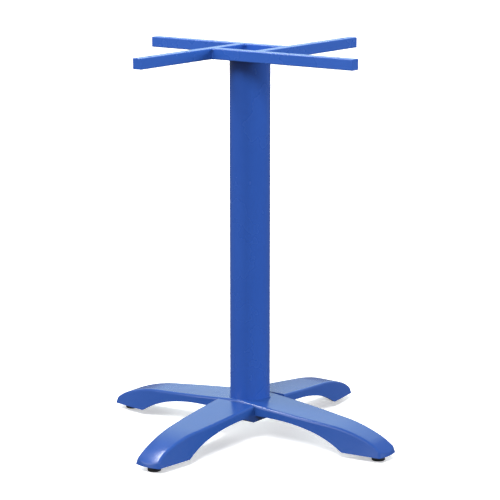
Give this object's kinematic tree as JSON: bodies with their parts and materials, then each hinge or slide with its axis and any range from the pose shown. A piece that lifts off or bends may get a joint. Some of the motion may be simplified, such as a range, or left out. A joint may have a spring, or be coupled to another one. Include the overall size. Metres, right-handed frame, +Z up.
{
  "type": "table base",
  "caption": "Pedestal table base: crossed arched cast iron legs, a round steel column, a pinwheel frame of square tube arms for a table top, and screw-in levelling glides.",
  "frame": {"origin": "on the floor, under the axis of the column", "axes": "+Z up along the column, +X along the upper leg casting to the front right foot, +Y along the lower leg casting to the back right foot"},
  "size_m": [0.6338, 0.6338, 0.74],
  "materials": {
    "coated_iron": "semi-gloss blue powder coat on sand-cast iron",
    "coated_steel": "semi-gloss blue powder coat on steel tube and plate",
    "zinc_steel": "bright zinc plate on steel",
    "glide_plastic": "black moulded polyamide"
  },
  "bodies": {
    "base": {"upper_leg_casting": "coated_iron", "lower_leg_casting": "coated_iron", "column_tube": "coated_steel", "column_foot_disc": "coated_steel", "frame_plate": "coated_steel", "arm_front_right": "coated_steel", "arm_back_right": "coated_steel", "arm_back_left": "coated_steel", "arm_front_left": "coated_steel", "arm_cap_front_right": "coated_steel", "arm_cap_back_right": "coated_steel", "arm_cap_back_left": "coated_steel", "arm_cap_front_left": "coated_steel", "hub_washers": "zinc_steel", "hub_spring_washers": "zinc_steel", "hub_bolts": "zinc_steel"},
    "front_right_foot": {"glide_front_right": "glide_plastic", "glide_stud_front_right": "zinc_steel"},
    "back_right_foot": {"glide_back_right": "glide_plastic", "glide_stud_back_right": "zinc_steel"},
    "back_left_foot": {"glide_back_left": "glide_plastic", "glide_stud_back_left": "zinc_steel"},
    "front_left_foot": {"glide_front_left": "glide_plastic", "glide_stud_front_left": "zinc_steel"}
  },
  "joints": [
    {"name": "front_right_glide_screw", "type": "slide", "parent": "base", "child": "front_right_foot", "axis": [0, 0, -1], "range_m": [0, 0.01]},
    {"name": "back_right_glide_screw", "type": "slide", "parent": "base", "child": "back_right_foot", "axis": [0, 0, -1], "range_m": [0, 0.01]},
    {"name": "back_left_glide_screw", "type": "slide", "parent": "base", "child": "back_left_foot", "axis": [0, 0, -1], "range_m": [0, 0.01]},
    {"name": "front_left_glide_screw", "type": "slide", "parent": "base", "child": "front_left_foot", "axis": [0, 0, -1], "range_m": [0, 0.01]}
  ]
}
